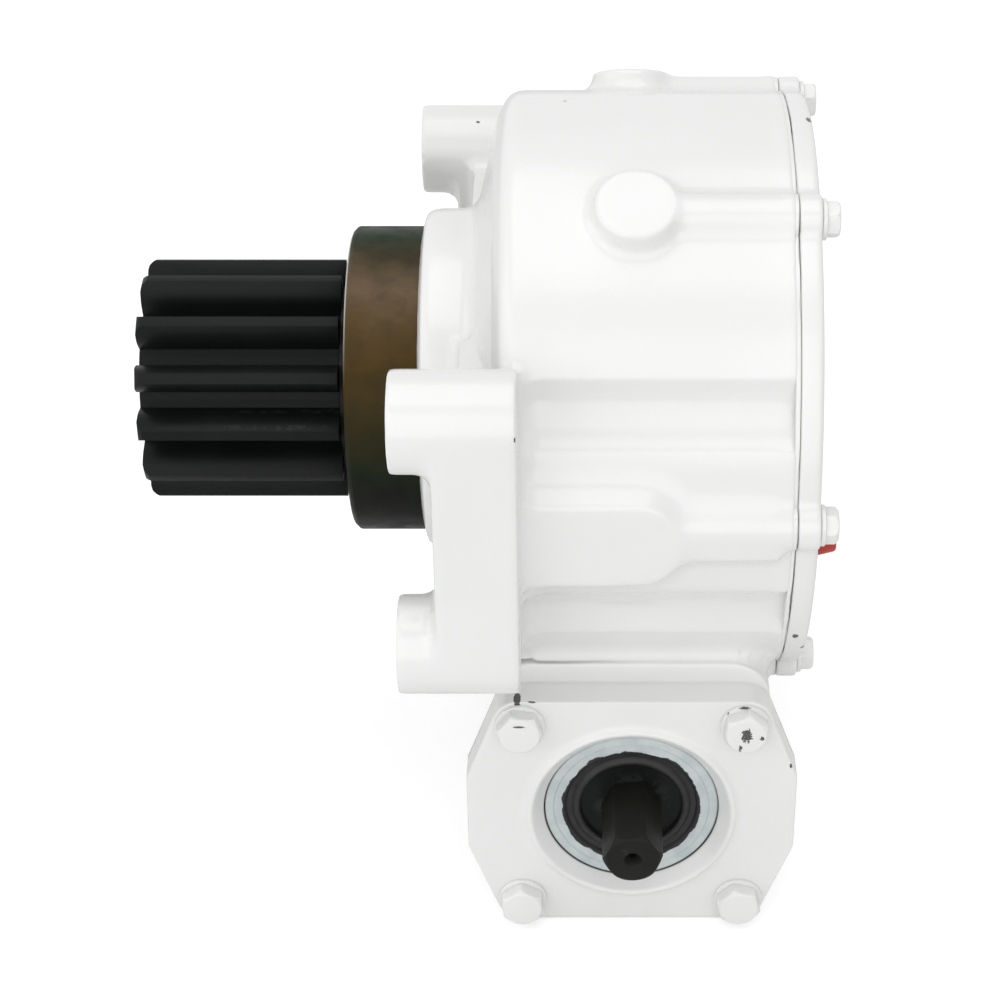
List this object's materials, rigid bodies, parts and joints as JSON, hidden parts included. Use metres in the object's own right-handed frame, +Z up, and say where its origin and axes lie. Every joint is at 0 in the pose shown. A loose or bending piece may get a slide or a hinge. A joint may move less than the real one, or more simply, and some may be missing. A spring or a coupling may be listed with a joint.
{
  "type": "worm speed reducer",
  "caption": "Right-angle worm speed reducer: cast drum housing on foot posts, output pinion with pilot ring, cross-mounted worm with a hex end for turning by hand and a motor mount.",
  "frame": {"origin": "on the output axis, in the plane of the four foot ends that meet the machine", "axes": "+X along the output shaft away from the pinion, +Y along the worm shaft away from its hex end, +Z up with the worm below the output shaft"},
  "size_m": [0.286, 0.2955, 0.325],
  "materials": {
    "white_paint": "thick semi-gloss white paint over the castings and their bolts",
    "black_steel": "black oxide",
    "blued_steel": "oil-blued, brown to green tints",
    "bearing_steel": "ground",
    "cage_steel": "pressed sheet",
    "plain_steel": "bare machined steel",
    "shim_steel": "rolled shim",
    "grey_iron": "cast and machined",
    "bronze": "machined bronze",
    "rubber_black": "moulded rubber",
    "gasket_fibre": "pressed fibre sheet",
    "red_plastic": "moulded red plastic"
  },
  "bodies": {
    "housing": {"main_casing": "white_paint", "casing_cover": "white_paint", "cover_gasket": "gasket_fibre", "cover_bolts": "white_paint", "cover_washers": "white_paint", "cover_dowels": "plain_steel", "transit_plug": "red_plastic", "fill_plug": "plain_steel", "level_plug": "plain_steel", "drain_plug": "plain_steel", "pilot_ring": "blued_steel", "output_seal": "rubber_black", "front_bearing_cup": "bearing_steel", "rear_bearing_cup": "bearing_steel", "worm_end_cover": "white_paint", "worm_cover_shims": "shim_steel", "worm_cover_bolts": "white_paint", "worm_cover_washers": "white_paint", "worm_seal_case": "plain_steel", "worm_seal_lip": "rubber_black", "motor_adapter": "white_paint", "adapter_shims": "shim_steel", "adapter_bolts": "white_paint", "adapter_washers": "white_paint", "motor_side_seal": "rubber_black", "near_bearing_cup": "bearing_steel", "far_bearing_cup": "bearing_steel"},
    "output": {"output_shaft": "black_steel", "spacer_sleeve": "plain_steel", "wheel_hub": "grey_iron", "wheel_rim": "bronze", "wheel_rim_bolts": "black_steel", "wheel_key": "plain_steel", "lock_washer": "plain_steel", "lock_nut": "plain_steel", "front_bearing_cone": "bearing_steel", "rear_bearing_cone": "bearing_steel"},
    "worm": {"worm_shaft": "black_steel", "near_bearing_cone": "bearing_steel", "far_bearing_cone": "bearing_steel"},
    "front_roller_set": {"front_bearing_rollers": "bearing_steel", "front_bearing_cage": "cage_steel"},
    "rear_roller_set": {"rear_bearing_rollers": "bearing_steel", "rear_bearing_cage": "cage_steel"},
    "near_roller_set": {"near_bearing_rollers": "bearing_steel", "near_bearing_cage": "cage_steel"},
    "far_roller_set": {"far_bearing_rollers": "bearing_steel", "far_bearing_cage": "cage_steel"}
  },
  "joints": [
    {"name": "output_spin", "type": "hinge", "parent": "housing", "child": "output", "pos_m": [0, 0, 0], "axis": [1, 0, 0], "continuous": true},
    {"name": "worm_spin", "type": "hinge", "parent": "housing", "child": "worm", "pos_m": [0.094, 0, -0.14438], "axis": [0, 1, 0], "continuous": true},
    {"name": "front_cage_spin", "type": "hinge", "parent": "housing", "child": "front_roller_set", "pos_m": [0, 0, 0], "axis": [1, 0, 0], "continuous": true},
    {"name": "rear_cage_spin", "type": "hinge", "parent": "housing", "child": "rear_roller_set", "pos_m": [0, 0, 0], "axis": [1, 0, 0], "continuous": true},
    {"name": "near_cage_spin", "type": "hinge", "parent": "housing", "child": "near_roller_set", "pos_m": [0.094, 0, -0.14438], "axis": [0, 1, 0], "continuous": true},
    {"name": "far_cage_spin", "type": "hinge", "parent": "housing", "child": "far_roller_set", "pos_m": [0.094, 0, -0.14438], "axis": [0, 1, 0], "continuous": true}
  ],
  "couplings": [
    {"joint": "worm_spin", "follows": "output_spin", "ratio": -51},
    {"joint": "front_cage_spin", "follows": "output_spin", "ratio": 0.4475},
    {"joint": "rear_cage_spin", "follows": "output_spin", "ratio": 0.4418},
    {"joint": "near_cage_spin", "follows": "output_spin", "ratio": -22.6},
    {"joint": "far_cage_spin", "follows": "output_spin", "ratio": -22.6}
  ]
}
